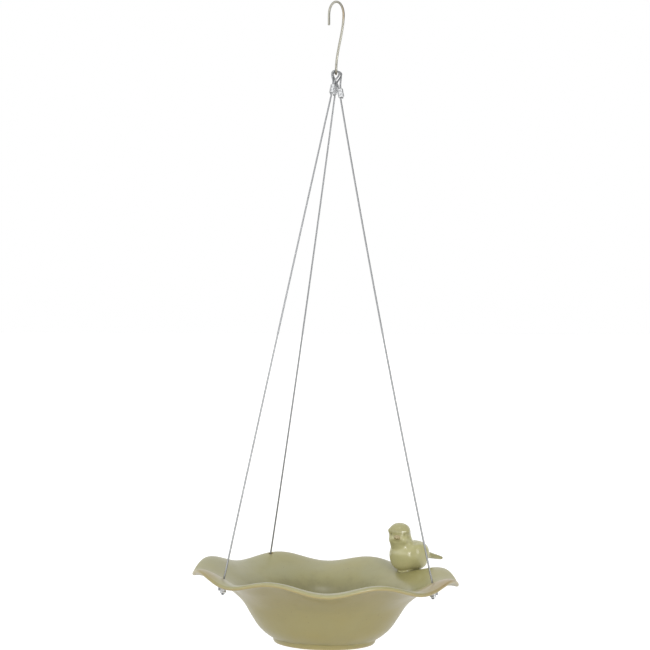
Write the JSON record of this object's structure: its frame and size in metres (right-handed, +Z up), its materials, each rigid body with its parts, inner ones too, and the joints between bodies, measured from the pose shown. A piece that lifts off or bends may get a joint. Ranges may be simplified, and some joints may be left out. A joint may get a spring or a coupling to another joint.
{
  "type": "hanging bird bath",
  "caption": "Ceramic bird bath bowl with a wavy flared rim and a small perched bird, hung on crimped steel wires from a wire S-hook.",
  "frame": {"origin": "inside top of the S-hook's upper bend, the point that the object hangs from", "axes": "+Z up; +X to the viewer's right and +Y away from the viewer, as in the picture; the hook's upper bend lies in the XZ plane"},
  "size_m": [0.2798, 0.2799, 0.6776],
  "materials": {
    "hook": "plain drawn wire, warm grey",
    "wire": "stranded steel wire",
    "sleeve": "crimped, satin",
    "bowl": "gloss sage glaze, tan where it breaks on the lip",
    "bird": "gloss sage glaze"
  },
  "bodies": {
    "hook": {"s_hook": "hook"},
    "loops": {"wire_loop_left": "wire", "wire_loop_right": "wire", "wire_loop_back": "wire"},
    "harness": {"wire_left": "wire", "wire_right": "wire", "wire_back": "wire", "upper_sleeve_left": "sleeve", "upper_sleeve_right": "sleeve", "upper_sleeve_back": "sleeve", "lower_sleeve_left": "sleeve", "lower_sleeve_right": "sleeve", "lower_sleeve_back": "sleeve"},
    "basin": {"bowl": "bowl", "bird": "bird"}
  },
  "joints": [
    {"name": "side_swing", "type": "hinge", "parent": "hook", "child": "loops", "pos_m": [0, 0, -0.0753], "axis": [0, 1, 0], "range_deg": [-45, 45]},
    {"name": "fore_swing", "type": "hinge", "parent": "loops", "child": "harness", "pos_m": [0, 0, -0.0753], "axis": [1, 0, 0], "range_deg": [-18, 18]},
    {"name": "bowl_lift", "type": "slide", "parent": "harness", "child": "basin", "axis": [0, 0, 1], "range_m": [0, 0.005]}
  ]
}
